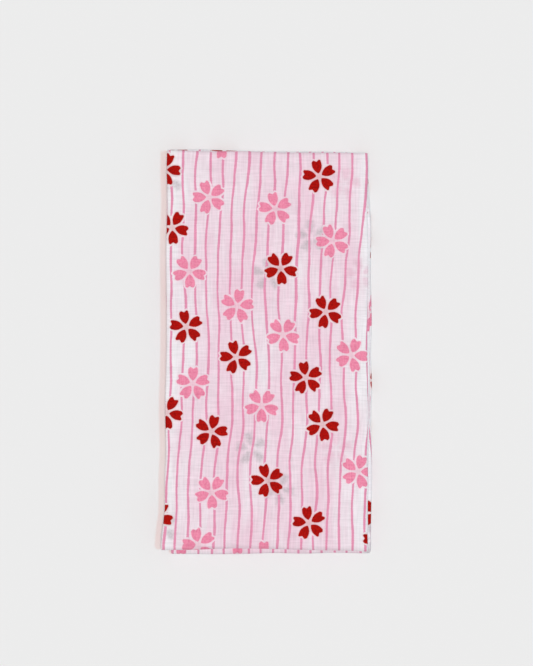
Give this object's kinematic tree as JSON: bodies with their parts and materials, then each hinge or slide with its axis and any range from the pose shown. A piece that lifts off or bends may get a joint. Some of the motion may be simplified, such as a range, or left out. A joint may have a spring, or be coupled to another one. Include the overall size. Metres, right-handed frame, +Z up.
{
  "type": "folded tenugui towel",
  "caption": "Flat-woven printed cotton towel, folded in thirds and laid back and forth into an oblong stack.",
  "frame": {"origin": "middle of the base of the stack's bounding box", "axes": "+Z up, out of the printed front panel; +Y along the stack's long side, towards its upper cut end; +X to the right of the front panel"},
  "size_m": [0.1184, 0.2286, 0.0145],
  "materials": {
    "printed_cotton": "matt plain-woven cotton, pale, with pink stripes and pink and red blossoms"
  },
  "bodies": {
    "root": {"tenugui_cloth": "printed_cotton"}
  },
  "joints": []
}
